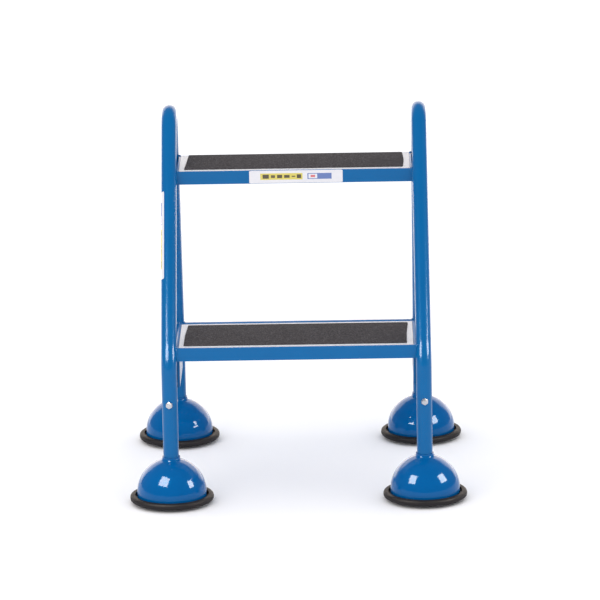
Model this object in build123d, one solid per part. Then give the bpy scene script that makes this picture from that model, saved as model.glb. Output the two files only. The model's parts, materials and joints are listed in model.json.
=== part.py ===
from build123d import *
import math
import os

# Two-tread mobile step used as a mounting block. Millimetres, +Z up, X to the right and Y to the
# back, seen by someone about to climb. The origin is on the floor, midway between the four legs.
# The step stands on four sprung castors, so the rubber rims are a little above the floor.

# Overall sizes
leg_span_x = 415.0          # between leg centre lines, left to right
leg_span_y = 382.0          # between leg centre lines at the floor, front to back
tread_rise = 254.0          # rim plane to lower rail top, and lower to upper rail top
rim_plane = 4.5             # height of the rims' undersides above the floor

# Frame tube and its bends
tube_radius = 12.7
tube_wall = 1.6
front_lean = 35.0           # degrees, front leg above its bend
rear_lean = 12.0            # degrees, rear leg above its bend
front_bend_drop = 19.0      # corner of the front leg's bend below the lower rail's top
rear_bend_drop = 46.0
leg_bend_radius = 76.0
top_bend_radius = 38.1

# Stays and cross tube
stay_drop = 61.0            # centre line below the lower rail's top
cross_tube_drop = 63.5
hanger_thickness = 4.0
hanger_lap = 8.2            # hanger's lower edge below the stays' centre line
hanger_inset = 16.0         # hanger ends, in from the lower tread's front and rear

# Treads
lower_tread_front = 4.2     # front face behind the front legs' centre line at the floor
lower_tread_depth = 162.0
upper_tread_lead = 1.0      # front face ahead of the front legs' centre line at the rail's top
rail_depth = 22.2
rail_wall = 3.2
board_gap = 0.4             # between board and rails, all round
board_recess = 0.0          # board top below the rail top
mat_thickness = 2.0
mat_side_margin = 9.0
mat_front_margin = 9.0
lower_mat_rear_margin = 11.0
upper_mat_rear_margin = 0.6
mat_corner = 3.0
rail_reach = 6.0            # how far a rail's coped end wraps the leg

# Board screws
screw_radius = 2.0
screw_head_radius = 4.0
screw_head_height = 2.2
screw_length = 14.0
screw_inset = 12.0          # screw axis in from the rail's outer face
screws_in_row = 3

# Labels
label_length = 154.5
label_margin = 0.6          # rail left bare above and below its label
rail_label_shift = 2.6      # label middle to the right of the rail's middle
label_thickness = 0.3
leg_label_rise = 158.5      # label middle above the lower rail's top
leg_label_turn = 7.0        # degrees towards the front from the leg's outer side

# Foot dome and rim
dome_radius = 57.0
dome_wall = 1.5
dome_centre_height = 12.8
neck_wall = 1.85
neck_rise = 3.6             # neck's top above the dome's crown
neck_fillet = 5.0
tube_gap = 0.05
rim_outside = 11.6          # rim's outer face beyond the dome
rim_inside = 4.0            # rim's inner face inside the dome's outer face
rim_height = 10.0
rim_corner = 4.2
rim_floor = 3.0             # rubber below the dome's edge
rim_groove_width = 3.4      # open groove between the dome and the rim's bead
rim_groove_depth = 5.5

# Guide sleeve, bush, stem and spring
sleeve_gap = 0.05
sleeve_wall = 2.55
sleeve_past_bolt = 9.0      # sleeve's top above the cross bolt's axis
bush_flange_height = 2.4
bush_length = 42.0          # inside the sleeve
bush_wall = 2.4
bush_gap = 0.05
stem_gap = 0.05
stem_flange_height = 3.9
stem_flange_radius = 10.0
castor_travel = 8.0
stop_gap = 0.1
collar_height = 4.0
collar_gap = 0.15
nose_height = 18.0
nose_gap = 1.6              # between the nose and the spring's wire
spring_wire_radius = 0.8
spring_pitch = 7.0
spring_gap = 0.8            # between the spring's wire and the sleeve
seat_height = 2.0
seat_gap = 0.1

# Cross bolt
bolt_height = 163.0
bolt_radius = 3.0
bolt_hole_gap = 0.25
bolt_head_flats = 10.0
bolt_head_height = 4.0
nut_height = 5.0
bolt_past_nut = 2.5

# Castor
wheel_radius = 19.0
tyre_width = 15.0
tyre_thickness = 5.0
tyre_corner = 3.0
hub_width = 14.0
hub_web_width = 7.0
hub_boss_radius = 6.5
axle_radius = 3.0
axle_gap = 0.05
axle_head_radius = 5.0
axle_head_height = 1.8
castor_trail = 14.0
fork_inner_width = 17.0
fork_plate = 2.0
crown_thickness = 2.5
crown_half_length = 12.0
crown_clearance = 3.5       # crown underside above the tyre
fork_eye_radius = 6.5
swivel_pin_radius = 4.0
swivel_gap = 0.05
rivet_head_radius = 6.5
rivet_head_height = 2.2
thrust_gap = 0.1

# Worked out from the sizes above
leg_x = leg_span_x / 2
front_y = -leg_span_y / 2
rear_y = leg_span_y / 2
tube_bore = tube_radius - tube_wall
leg_inner_x = leg_x - tube_radius
sleeve_outer = tube_bore - sleeve_gap
sleeve_bore = sleeve_outer - sleeve_wall
stem_radius = sleeve_bore - bush_gap - bush_wall - stem_gap
spring_mean_radius = sleeve_bore - spring_gap - spring_wire_radius
nose_radius = spring_mean_radius - spring_wire_radius - nose_gap
neck_radius = tube_radius + tube_gap + neck_wall
rim_outer_radius = dome_radius + rim_outside
rim_inner_radius = dome_radius - rim_inside
axle_z = wheel_radius
crown_z = 2 * wheel_radius + crown_clearance
flange_z = crown_z + crown_thickness + thrust_gap
flange_top_z = flange_z + stem_flange_height
bush_z = flange_top_z + castor_travel + stop_gap
leg_end_z = bush_z + bush_flange_height
bush_top_z = leg_end_z + bush_length
collar_z = bush_top_z + stop_gap
bolt_z = rim_plane + bolt_height
sleeve_top_z = bolt_z + sleeve_past_bolt
seat_z = bolt_z - bolt_radius - seat_gap - seat_height
lower_rail_top = rim_plane + tread_rise
upper_rail_top = lower_rail_top + tread_rise
front_bend_z = lower_rail_top - front_bend_drop
rear_bend_z = lower_rail_top - rear_bend_drop
front_slope = math.tan(math.radians(front_lean))
rear_slope = math.tan(math.radians(rear_lean))
board_thickness = rail_depth - rail_wall - board_recess
stay_z = lower_rail_top - stay_drop
cross_tube_z = lower_rail_top - cross_tube_drop
lower_front_y = front_y + lower_tread_front
upper_front_y = front_y + front_slope * (upper_rail_top - front_bend_z) - upper_tread_lead
upper_back_y = rear_y - rear_slope * (upper_rail_top - rear_bend_z)
upper_tread_depth = upper_back_y - upper_front_y
label_width = rail_depth - 2 * label_margin
leg_label_z = lower_rail_top + leg_label_rise

feet = {
    "front_left": (-leg_x, front_y, 200.0),
    "front_right": (leg_x, front_y, 340.0),
    "rear_left": (-leg_x, rear_y, 20.0),
    "rear_right": (leg_x, rear_y, 160.0),
}


def save(name, shape):
    export_step(shape, f"parts/{name}.step")


def block(low, high):
    size = [high[i] - low[i] for i in range(3)]
    centre = [(high[i] + low[i]) / 2 for i in range(3)]
    return Pos(*centre) * Box(*size)


def rod(radius, low_z, high_z, x=0.0, y=0.0):
    return Pos(x, y, (low_z + high_z) / 2) * Cylinder(radius, high_z - low_z)


def pipe(outer, inner, low_z, high_z, x=0.0, y=0.0):
    return rod(outer, low_z, high_z, x, y) - rod(inner, low_z, high_z, x, y)


def rod_along_x(radius, low_x, high_x, y, z):
    return Pos((low_x + high_x) / 2, y, z) * Rot(0, 90, 0) * Cylinder(radius, high_x - low_x)


def rod_along_y(radius, low_y, high_y, x, z):
    return Pos(x, (low_y + high_y) / 2, z) * Rot(90, 0, 0) * Cylinder(radius, high_y - low_y)


def hex_along_y(flats, low_y, high_y, x, z):
    section = Plane((x, low_y, z), x_dir=(1, 0, 0), z_dir=(0, 1, 0)) * RegularPolygon(flats / 2, 6, False)
    return extrude(section, high_y - low_y)


def hoop_points():
    """Corners of one side frame's centre line, as (y, z), before they are rounded."""
    rise = (rear_y - front_y + rear_slope * (rear_bend_z - front_bend_z)) / (front_slope + rear_slope)
    apex = (front_y + front_slope * rise, front_bend_z + rise)
    return [
        (front_y, leg_end_z),
        (front_y, front_bend_z),
        apex,
        (rear_y, rear_bend_z),
        (rear_y, leg_end_z),
    ]


def hoop_solid(x, radius):
    points = [(x, y, z) for y, z in hoop_points()]
    radii = [leg_bend_radius, top_bend_radius, leg_bend_radius]
    path = FilletPolyline(*points, radius=radii)
    section = Plane(points[0], x_dir=(1, 0, 0), z_dir=(0, 0, 1)) * Circle(radius)
    return sweep(section, path=path)


def bolt_cut(x):
    cut = rod_along_y(bolt_radius + bolt_hole_gap, front_y - 2 * tube_radius, front_y + 2 * tube_radius, x, bolt_z)
    return cut + rod_along_y(
        bolt_radius + bolt_hole_gap, rear_y - 2 * tube_radius, rear_y + 2 * tube_radius, x, bolt_z
    )


def side_frame(x, outer):
    return outer - hoop_solid(x, tube_bore) - bolt_cut(x)


def longest_piece(shape):
    """The tube between its two coped ends, without the scraps left inside the legs."""
    return shape.solids().sort_by(SortBy.VOLUME)[-1]


def side_stay(x, outer):
    bar = rod_along_y(tube_radius, front_y, rear_y, x, stay_z)
    bar -= rod_along_y(tube_bore, front_y, rear_y, x, stay_z)
    return longest_piece(bar - outer)


def cross_tube(outers):
    """Coped to both legs, and to the stays that meet the legs beside it."""
    bar = rod_along_x(tube_radius, -leg_x, leg_x, rear_y, cross_tube_z)
    bar -= rod_along_x(tube_bore, -leg_x, leg_x, rear_y, cross_tube_z)
    for outer in outers:
        bar -= outer
    for x in (-leg_x, leg_x):
        bar -= rod_along_y(tube_radius, front_y, rear_y, x, stay_z)
    return longest_piece(bar)


def screw_places(front, depth):
    """Screw axes of one tread, a row through each of its front and rear flanges."""
    reach = leg_inner_x - 3 * screw_inset
    step = 2 * reach / (screws_in_row - 1)
    rows = (front + screw_inset, front + depth - screw_inset)
    return [(-reach + i * step, y) for y in rows for i in range(screws_in_row)]


def tread_frame(front, depth, top, outers):
    """Four lengths of angle, mitred and welded, with the flange turned in under the board."""
    low_z = top - rail_depth
    back = front + depth
    frame = block((-leg_inner_x, front, low_z), (leg_inner_x, back, top))
    rail_ends = block((-leg_inner_x - rail_reach, front, low_z), (leg_inner_x + rail_reach, front + rail_wall, top))
    frame += rail_ends
    frame -= block(
        (-leg_inner_x + rail_wall, front + rail_wall, low_z + rail_wall),
        (leg_inner_x - rail_wall, back - rail_wall, top + 1),
    )
    frame -= block(
        (-leg_inner_x + rail_depth, front + rail_depth, low_z - 1),
        (leg_inner_x - rail_depth, back - rail_depth, low_z + 2 * rail_wall),
    )
    for x, y in screw_places(front, depth):
        frame -= rod(screw_radius, low_z - 1, low_z + rail_wall + 1, x, y)
    for outer in outers:
        frame -= outer
    return frame


def tread_board(front, depth, top):
    inset = rail_wall + board_gap
    low_z = top - rail_depth + rail_wall
    board = block(
        (-leg_inner_x + inset, front + inset, low_z),
        (leg_inner_x - inset, front + depth - inset, low_z + board_thickness),
    )
    for x, y in screw_places(front, depth):
        board -= rod(screw_radius, low_z - 1, low_z - rail_wall + screw_length, x, y)
    return board


def tread_mat(front, depth, top, rear_margin):
    inset = rail_wall + board_gap
    half = leg_inner_x - inset - mat_side_margin
    low_z = top - board_recess
    mat = block(
        (-half, front + inset + mat_front_margin, low_z),
        (half, front + depth - inset - rear_margin, low_z + mat_thickness),
    )
    return fillet(mat.edges().filter_by(Axis.Z), mat_corner)


def tread_screws(front, depth, top):
    low_z = top - rail_depth
    screws = []
    for x, y in screw_places(front, depth):
        screw = rod(screw_radius, low_z, low_z + screw_length, x, y)
        head = rod(screw_head_radius, low_z - screw_head_height, low_z, x, y)
        head = fillet(head.edges().sort_by(Axis.Z)[:1], screw_head_height * 0.6)
        screws.append(screw + head)
    return Compound(children=screws)


def tread_hangers():
    """Two flats on edge, welded under the lower tread's sides and to the stays' flanks."""
    low_z = stay_z - hanger_lap
    top = lower_rail_top - rail_depth
    y_low = lower_front_y + hanger_inset
    y_high = lower_front_y + lower_tread_depth - hanger_inset
    flats = []
    for side in (-1, 1):
        near = side * (leg_inner_x - hanger_thickness)
        far = side * leg_inner_x
        flats.append(block((min(near, far), y_low, low_z), (max(near, far), y_high, top)))
    return Compound(children=flats)


def rail_label():
    high_z = upper_rail_top - label_margin
    return block(
        (rail_label_shift - label_length / 2, upper_front_y - label_thickness, high_z - label_width),
        (rail_label_shift + label_length / 2, upper_front_y, high_z),
    )


def leg_label():
    """A strip wrapped round the outer side of the left front leg, along its leaning stretch."""
    slope = math.radians(front_lean)
    direction = Vector(0, math.sin(slope), math.cos(slope))
    middle_y = front_y + (leg_label_z - front_bend_z) * front_slope
    start = Vector(-leg_x, middle_y, leg_label_z) - direction * (label_length / 2)
    plane = Plane(start, x_dir=(-1, 0, 0), z_dir=direction)
    half_angle = math.degrees(label_width / tube_radius) / 2
    outer = tube_radius + label_thickness
    reach = 2 * outer
    wedge = make_face(
        Polyline(
            (0, 0),
            (reach, -reach * math.tan(math.radians(half_angle))),
            (reach, reach * math.tan(math.radians(half_angle))),
            close=True,
        )
    )
    strip = (Circle(outer) - Circle(tube_radius)) & wedge
    return extrude(plane * Rot(0, 0, leg_label_turn) * strip, label_length)


def foot_dome():
    """Pressed steel cup round the leg, from its neck down to the edge held in the rim."""
    centre_z = rim_plane + dome_centre_height
    edge_z = rim_plane + rim_floor
    neck_z = centre_z + dome_radius + neck_rise
    inner = dome_radius - dome_wall
    hole = tube_radius + tube_gap
    outer_body = rod(dome_radius, edge_z, centre_z) + (Pos(0, 0, centre_z) * Sphere(dome_radius))
    outer_body -= block((-100, -100, edge_z - 200), (100, 100, edge_z))
    outer_body += rod(neck_radius, centre_z, neck_z)
    seam = [
        edge
        for edge in outer_body.edges().filter_by(GeomType.CIRCLE)
        if abs(edge.radius - neck_radius) < 0.01 and edge.center().Z < neck_z - 1
    ]
    outer_body = fillet(seam, neck_fillet)
    inner_body = rod(inner, edge_z - 1, centre_z) + (Pos(0, 0, centre_z) * Sphere(inner))
    inner_body -= block((-100, -100, edge_z - 200), (100, 100, edge_z - 1))
    return outer_body - inner_body - rod(hole, centre_z, neck_z + 1)


def foot_rim():
    """Rubber rim gripping the dome's edge in a slot, with an open groove inside its bead."""
    low_z = rim_plane
    ring = pipe(rim_outer_radius, rim_inner_radius, low_z, low_z + rim_height)
    outer_edges = [e for e in ring.edges().filter_by(GeomType.CIRCLE) if e.radius > rim_outer_radius - 0.01]
    ring = fillet(outer_edges, rim_corner)
    inner_edges = [
        e
        for e in ring.edges().filter_by(GeomType.CIRCLE)
        if abs(e.radius - rim_inner_radius) < 0.01
    ]
    ring = fillet(inner_edges, dome_wall / 2)
    high_z = low_z + rim_height
    slot = pipe(dome_radius, dome_radius - dome_wall, low_z + rim_floor, high_z + 1)
    groove = pipe(dome_radius + rim_groove_width, dome_radius, high_z - rim_groove_depth, high_z + 1)
    return ring - slot - groove


def leg_sleeve():
    sleeve = pipe(sleeve_outer, sleeve_bore, leg_end_z, sleeve_top_z)
    return sleeve - rod_along_y(bolt_radius + bolt_hole_gap, -tube_radius, tube_radius, 0, bolt_z)


def guide_bush():
    flange = rod(tube_radius, bush_z, leg_end_z)
    body = rod(sleeve_bore - bush_gap, leg_end_z, bush_top_z)
    return flange + body - rod(stem_radius + stem_gap, bush_z - 1, bush_top_z + 1)


def plunger_stem():
    """Swivel rivet, thrust flange, shank, stop collar and spring nose, turned from one bar."""
    stem = rod(rivet_head_radius, crown_z - thrust_gap - rivet_head_height, crown_z - thrust_gap)
    stem += rod(swivel_pin_radius, crown_z - thrust_gap, flange_z)
    stem += rod(stem_flange_radius, flange_z, flange_top_z)
    stem += rod(stem_radius, flange_top_z, collar_z)
    stem += rod(sleeve_bore - collar_gap, collar_z, collar_z + collar_height)
    stem += rod(nose_radius, collar_z + collar_height, collar_z + collar_height + nose_height)
    return stem


def return_spring():
    low_z = collar_z + collar_height + spring_wire_radius + seat_gap
    high_z = seat_z - spring_wire_radius - seat_gap
    height = high_z - low_z
    turns = round(height / spring_pitch)
    path = Helix(pitch=height / turns, height=height, radius=spring_mean_radius)
    section = Plane(path @ 0, z_dir=path % 0) * Circle(spring_wire_radius)
    return Pos(0, 0, low_z) * sweep(section, path=path)


def castor_fork():
    """Pressed fork: a crown on the swivel pin and two cheeks down to the trailing axle."""
    outer_half = fork_inner_width / 2 + fork_plate
    crown = block(
        (-outer_half, -crown_half_length, crown_z),
        (outer_half, crown_half_length, crown_z + crown_thickness),
    )
    eye = Circle(fork_eye_radius)
    rise = crown_z + crown_thickness - axle_z
    top_edge = Polyline(
        (-crown_half_length - castor_trail, rise),
        (crown_half_length - castor_trail, rise),
        (crown_half_length - castor_trail, rise - crown_thickness),
        (-crown_half_length - castor_trail, rise - crown_thickness),
        close=True,
    )
    cheek_outline = make_hull(eye.edges() + top_edge.edges())
    fork = crown
    for low_x in (-outer_half, outer_half - fork_plate):
        plane = Plane((low_x, castor_trail, axle_z), x_dir=(0, 1, 0), z_dir=(1, 0, 0))
        fork += extrude(plane * cheek_outline, fork_plate)
    fork -= rod(swivel_pin_radius + swivel_gap, crown_z - 1, crown_z + crown_thickness + 1)
    fork -= rod_along_x(axle_radius, -outer_half - 1, outer_half + 1, castor_trail, axle_z)
    return fork


def castor_axle():
    half = fork_inner_width / 2 + fork_plate
    axle = rod_along_x(axle_radius, -half, half, castor_trail, axle_z)
    for side in (-1, 1):
        near = side * half
        far = side * (half + axle_head_height)
        axle += rod_along_x(axle_head_radius, min(near, far), max(near, far), castor_trail, axle_z)
    return axle


def castor_tyre():
    hub_radius = wheel_radius - tyre_thickness
    tyre = rod_along_x(wheel_radius, -tyre_width / 2, tyre_width / 2, castor_trail, axle_z)
    tyre = fillet(tyre.edges().filter_by(GeomType.CIRCLE), tyre_corner)
    return tyre - rod_along_x(hub_radius, -tyre_width, tyre_width, castor_trail, axle_z)


def castor_hub():
    hub_radius = wheel_radius - tyre_thickness
    hub = rod_along_x(hub_radius, -hub_width / 2, hub_width / 2, castor_trail, axle_z)
    for low_x, high_x in ((-hub_width, -hub_web_width / 2), (hub_web_width / 2, hub_width)):
        recess = rod_along_x(hub_radius - 2.5, low_x, high_x, castor_trail, axle_z)
        recess -= rod_along_x(hub_boss_radius, low_x - 1, high_x + 1, castor_trail, axle_z)
        hub -= recess
    return hub - rod_along_x(axle_radius + axle_gap, -hub_width, hub_width, castor_trail, axle_z)


def cross_bolt(x, y):
    out = -1 if y < 0 else 1
    head_seat = y + out * tube_radius
    far = y - out * (tube_radius + nut_height + bolt_past_nut)
    head_end = head_seat + out * bolt_head_height
    bolt = rod_along_y(bolt_radius, min(head_seat, far), max(head_seat, far), x, bolt_z)
    return bolt + hex_along_y(bolt_head_flats, min(head_seat, head_end), max(head_seat, head_end), x, bolt_z)


def cross_nut(x, y):
    out = -1 if y < 0 else 1
    seat = y - out * tube_radius
    end = seat - out * nut_height
    nut = hex_along_y(bolt_head_flats, min(seat, end), max(seat, end), x, bolt_z)
    return nut - rod_along_y(bolt_radius, min(seat, end) - 1, max(seat, end) + 1, x, bolt_z)


def spring_seat():
    return rod(sleeve_bore - collar_gap, seat_z, seat_z + seat_height)


def build_frame():
    outers = {"left": hoop_solid(-leg_x, tube_radius), "right": hoop_solid(leg_x, tube_radius)}
    for side, x in (("left", -leg_x), ("right", leg_x)):
        save(f"side_frame_{side}", side_frame(x, outers[side]))
        save(f"side_stay_{side}", side_stay(x, outers[side]))
    hoops = list(outers.values())
    save("rear_cross_tube", cross_tube(hoops))
    treads = {
        "lower": (lower_front_y, lower_tread_depth, lower_rail_top, lower_mat_rear_margin),
        "upper": (upper_front_y, upper_tread_depth, upper_rail_top, upper_mat_rear_margin),
    }
    for name, (front, depth, top, rear_margin) in treads.items():
        save(f"{name}_tread_frame", tread_frame(front, depth, top, hoops))
        save(f"{name}_tread_board", tread_board(front, depth, top))
        save(f"{name}_tread_mat", tread_mat(front, depth, top, rear_margin))
        save(f"{name}_tread_screws", tread_screws(front, depth, top))
    save("lower_tread_hangers", tread_hangers())
    save("rail_label", rail_label())
    save("leg_label", leg_label())


def build_feet():
    fixed = {
        "foot_dome": foot_dome(),
        "foot_rim": foot_rim(),
        "leg_sleeve": leg_sleeve(),
        "guide_bush": guide_bush(),
        "return_spring": return_spring(),
        "plunger_stem": plunger_stem(),
    }
    castor = {
        "castor_fork": castor_fork(),
        "castor_axle": castor_axle(),
        "castor_tyre": castor_tyre(),
        "castor_hub": castor_hub(),
    }
    for foot, (x, y, heading) in feet.items():
        for name, shape in fixed.items():
            save(f"{name}_{foot}", Pos(x, y, 0) * shape)
        for name, shape in castor.items():
            save(f"{name}_{foot}", Pos(x, y, 0) * Rot(0, 0, heading) * shape)
    places = [(x, y) for x, y, _ in feet.values()]
    save("leg_bolts", Compound(children=[cross_bolt(x, y) for x, y in places]))
    save("leg_nuts", Compound(children=[cross_nut(x, y) for x, y in places]))
    save("spring_seats", Compound(children=[Pos(x, y, 0) * spring_seat() for x, y in places]))


def main():
    os.makedirs("parts", exist_ok=True)
    build_frame()
    build_feet()


main()
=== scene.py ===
import bpy
import bmesh
import json
import math
from mathutils import Matrix, Vector


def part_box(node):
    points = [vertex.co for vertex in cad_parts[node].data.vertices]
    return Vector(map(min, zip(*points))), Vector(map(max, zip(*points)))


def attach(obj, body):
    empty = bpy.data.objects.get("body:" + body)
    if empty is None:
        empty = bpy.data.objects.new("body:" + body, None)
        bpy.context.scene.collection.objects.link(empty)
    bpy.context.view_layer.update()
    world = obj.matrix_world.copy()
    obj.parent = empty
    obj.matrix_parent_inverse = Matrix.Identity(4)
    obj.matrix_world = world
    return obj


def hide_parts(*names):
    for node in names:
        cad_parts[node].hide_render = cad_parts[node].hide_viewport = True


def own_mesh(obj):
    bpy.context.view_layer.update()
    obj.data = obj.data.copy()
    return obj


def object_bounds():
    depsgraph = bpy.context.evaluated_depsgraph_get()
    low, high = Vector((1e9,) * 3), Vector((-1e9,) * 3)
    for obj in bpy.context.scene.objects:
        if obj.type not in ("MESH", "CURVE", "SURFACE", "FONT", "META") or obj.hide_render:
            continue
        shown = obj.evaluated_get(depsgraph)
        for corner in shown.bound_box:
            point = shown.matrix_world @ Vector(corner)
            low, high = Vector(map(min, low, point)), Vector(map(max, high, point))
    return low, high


# Two-tread mobile step in blue powder coat, on domed feet that hide sprung castors.
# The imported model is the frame; this script gives it its finishes and its fine pieces. Metres.
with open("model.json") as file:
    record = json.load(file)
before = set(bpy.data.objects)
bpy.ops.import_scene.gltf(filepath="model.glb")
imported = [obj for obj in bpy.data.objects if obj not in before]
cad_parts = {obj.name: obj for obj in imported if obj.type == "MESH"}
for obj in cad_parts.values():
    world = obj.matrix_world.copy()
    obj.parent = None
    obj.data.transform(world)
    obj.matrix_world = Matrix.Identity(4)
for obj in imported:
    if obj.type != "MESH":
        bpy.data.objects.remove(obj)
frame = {"nodes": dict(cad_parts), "record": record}
cadBox = [list(corner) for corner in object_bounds()]
nodes = frame["nodes"]
mm = 0.001
footNames = ["front_left", "front_right", "rear_left", "rear_right"]
print("frame loaded,", len(nodes), "nodes")


def linear(hexColour):
    # sRGB hex to the linear colour that shaders want
    channels = [int(hexColour[i:i + 2], 16) / 255 for i in (1, 3, 5)]
    return [c / 12.92 if c <= 0.04045 else ((c + 0.055) / 1.055) ** 2.4 for c in channels] + [1.0]


def addNode(tree, kind, inputs=None, **settings):
    # one node, with its settings, its values and its links
    node = tree.nodes.new(kind)
    for name, value in settings.items():
        setattr(node, name, value)
    for socket, value in (inputs or {}).items():
        if isinstance(value, bpy.types.NodeSocket):
            tree.links.new(value, node.inputs[socket])
        else:
            node.inputs[socket].default_value = value
    return node


def perSize(size):
    # a texture's scale from the real size of its pattern, in millimetres
    return 1 / (size * mm)


def startMaterial(name):
    material = bpy.data.materials.new(name)
    material.use_nodes = True
    material.node_tree.nodes.clear()
    place = addNode(material.node_tree, "ShaderNodeTexCoord").outputs["Object"]
    return material, material.node_tree, place


def finishMaterial(tree, shaderInputs):
    shader = addNode(tree, "ShaderNodeBsdfPrincipled", shaderInputs)
    addNode(tree, "ShaderNodeOutputMaterial", {"Surface": shader.outputs["BSDF"]})


# Polyester powder coat, sprayed and baked: an even gloss blue whose orange peel softens reflections
powderCoat = {
    "blue": "#00609C",
    "deepBlue": "#005A94",
    "patch": 45,            # mm, slow change in the film's thickness
    "peel": 2.6,            # mm between the crests of the orange peel
    "peelHeight": 0.012,    # mm
    "tint": "#38C8FF",      # the pigment mirrors bluer than the clear skin over it
    "mirror": 0.1,
    "roughness": 0.35,
    "coat": 0.4,
    "coatRoughness": 0.16,
}

# Stoved gloss enamel on the spun domes: the same blue, flatter, with crisp reflections
domeEnamel = {
    "blue": "#005B9B",
    "deepBlue": "#005592",
    "patch": 30,
    "peel": 5.0,
    "peelHeight": 0.008,
    "tint": "#38C8FF",
    "mirror": 0.1,
    "roughness": 0.2,
    "coat": 0.4,
    "coatRoughness": 0.035,
}


def paint(name, finish):
    material, tree, place = startMaterial(name)
    film = addNode(
        tree, "ShaderNodeTexNoise", {"Vector": place, "Scale": perSize(finish["patch"]), "Detail": 3}
    )
    colour = addNode(
        tree, "ShaderNodeMix",
        {0: film.outputs["Fac"], 6: linear(finish["deepBlue"]), 7: linear(finish["blue"])},
        data_type="RGBA",
    )
    peel = addNode(
        tree, "ShaderNodeTexNoise", {"Vector": place, "Scale": perSize(finish["peel"]), "Detail": 1}
    )
    bump = addNode(
        tree, "ShaderNodeBump", {"Height": peel.outputs["Fac"], "Distance": finish["peelHeight"] * mm}
    )
    finishMaterial(tree, {
        "Base Color": colour.outputs[2],
        "Roughness": finish["roughness"],
        "Specular IOR Level": finish["mirror"],
        "Specular Tint": linear(finish["tint"]),
        "Coat Weight": finish["coat"],
        "Coat Roughness": finish["coatRoughness"],
        "Normal": bump.outputs["Normal"],
        "Coat Normal": bump.outputs["Normal"],
    })
    return material


# Melamine-faced chipboard: a pale satin face with a faint print, and brown chip showing at the cut edges
melamineBoard = {
    "face": "#CFD1D6",
    "fleck": "#B5B8C0",
    "chip": "#B79A6C",
    "darkChip": "#8E7148",
    "fleckSize": 2.2,       # mm
    "fleckShare": (0.52, 0.75),  # noise values where a fleck starts and is full
    "chipSize": 3.0,
    "roughness": 0.45,
    "mirror": 0.3,
}


def board(name, finish):
    material, tree, place = startMaterial(name)
    fleck = addNode(
        tree, "ShaderNodeTexNoise", {"Vector": place, "Scale": perSize(finish["fleckSize"]), "Detail": 2}
    )
    start, full = finish["fleckShare"]
    flecks = addNode(
        tree, "ShaderNodeMapRange", {0: fleck.outputs["Fac"], 1: start, 2: full, 3: 0.0, 4: 1.0}
    )
    face = addNode(
        tree, "ShaderNodeMix",
        {0: flecks.outputs[0], 6: linear(finish["face"]), 7: linear(finish["fleck"])}, data_type="RGBA",
    )
    chips = addNode(tree, "ShaderNodeTexVoronoi", {"Vector": place, "Scale": perSize(finish["chipSize"])})
    chip = addNode(
        tree, "ShaderNodeMix",
        {0: chips.outputs["Distance"], 6: linear(finish["chip"]), 7: linear(finish["darkChip"])},
        data_type="RGBA",
    )
    # faces that look up or down are melamine, upright ones are the cut edge
    facing = addNode(tree, "ShaderNodeNewGeometry").outputs["True Normal"]
    upward = addNode(tree, "ShaderNodeSeparateXYZ", {0: facing}).outputs["Z"]
    level = addNode(tree, "ShaderNodeMath", {0: upward}, operation="ABSOLUTE")
    isFace = addNode(tree, "ShaderNodeMath", {0: level.outputs[0], 1: 0.5}, operation="GREATER_THAN")
    colour = addNode(
        tree, "ShaderNodeMix", {0: isFace.outputs[0], 6: chip.outputs[2], 7: face.outputs[2]},
        data_type="RGBA",
    )
    finishMaterial(tree, {
        "Base Color": colour.outputs[2],
        "Roughness": finish["roughness"],
        "Specular IOR Level": finish["mirror"],
    })
    return material


# Mineral-grit safety sheet: crushed grit in a matt resin, near black with a scatter of paler grains
gritSheet = {
    "resin": "#343235",
    "grain": "#5A575A",
    "grainSize": 1.3,       # mm, coarser than the real 0.5 mm grit so that it shows
    "darkShare": 0.55,      # grains that stay as dark as the resin
    "height": 0.35,         # mm
    "patch": 25,
    "worn": "#403E40",
    "roughness": 0.95,
    "mirror": 0.05,
}


def grit(name, finish):
    material, tree, place = startMaterial(name)
    grains = addNode(tree, "ShaderNodeTexVoronoi", {"Vector": place, "Scale": perSize(finish["grainSize"])})
    shade = addNode(tree, "ShaderNodeSeparateColor", {0: grains.outputs["Color"]})
    pale = addNode(
        tree, "ShaderNodeMapRange", {0: shade.outputs[0], 1: finish["darkShare"], 2: 1.0, 3: 0.0, 4: 1.0}
    )
    patch = addNode(
        tree, "ShaderNodeTexNoise", {"Vector": place, "Scale": perSize(finish["patch"]), "Detail": 4}
    )
    ground = addNode(
        tree, "ShaderNodeMix",
        {0: patch.outputs["Fac"], 6: linear(finish["resin"]), 7: linear(finish["worn"])}, data_type="RGBA",
    )
    colour = addNode(
        tree, "ShaderNodeMix", {0: pale.outputs[0], 6: ground.outputs[2], 7: linear(finish["grain"])},
        data_type="RGBA",
    )
    bump = addNode(
        tree, "ShaderNodeBump",
        {"Height": grains.outputs["Distance"], "Distance": finish["height"] * mm}, invert=True,
    )
    finishMaterial(tree, {
        "Base Color": colour.outputs[2],
        "Roughness": finish["roughness"],
        "Specular IOR Level": finish["mirror"],
        "Normal": bump.outputs["Normal"],
    })
    return material


# What is moulded keeps the fine texture of its mould, which spreads its highlights
mouldedRubber = {
    "colour": "#19171A", "worn": "#242226", "texture": 0.9, "height": 0.03, "roughness": 0.55, "mirror": 0.2,
}
castorRubber = {
    "colour": "#8B8C8E", "worn": "#76777A", "texture": 1.2, "height": 0.03, "roughness": 0.6, "mirror": 0.35,
}
blackNylon = {
    "colour": "#1B1B1C", "worn": "#262627", "texture": 0.6, "height": 0.01, "roughness": 0.36, "mirror": 0.5,
}
greyNylon = {
    "colour": "#4A4B4E", "worn": "#57585B", "texture": 0.6, "height": 0.01, "roughness": 0.4, "mirror": 0.5,
}


handlingPatch = 12          # mm, size of the clouds that handling leaves on moulded pieces
mouldedSpread = (0.05, 0.08)  # how far roughness falls and rises from one cloud to the next


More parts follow.
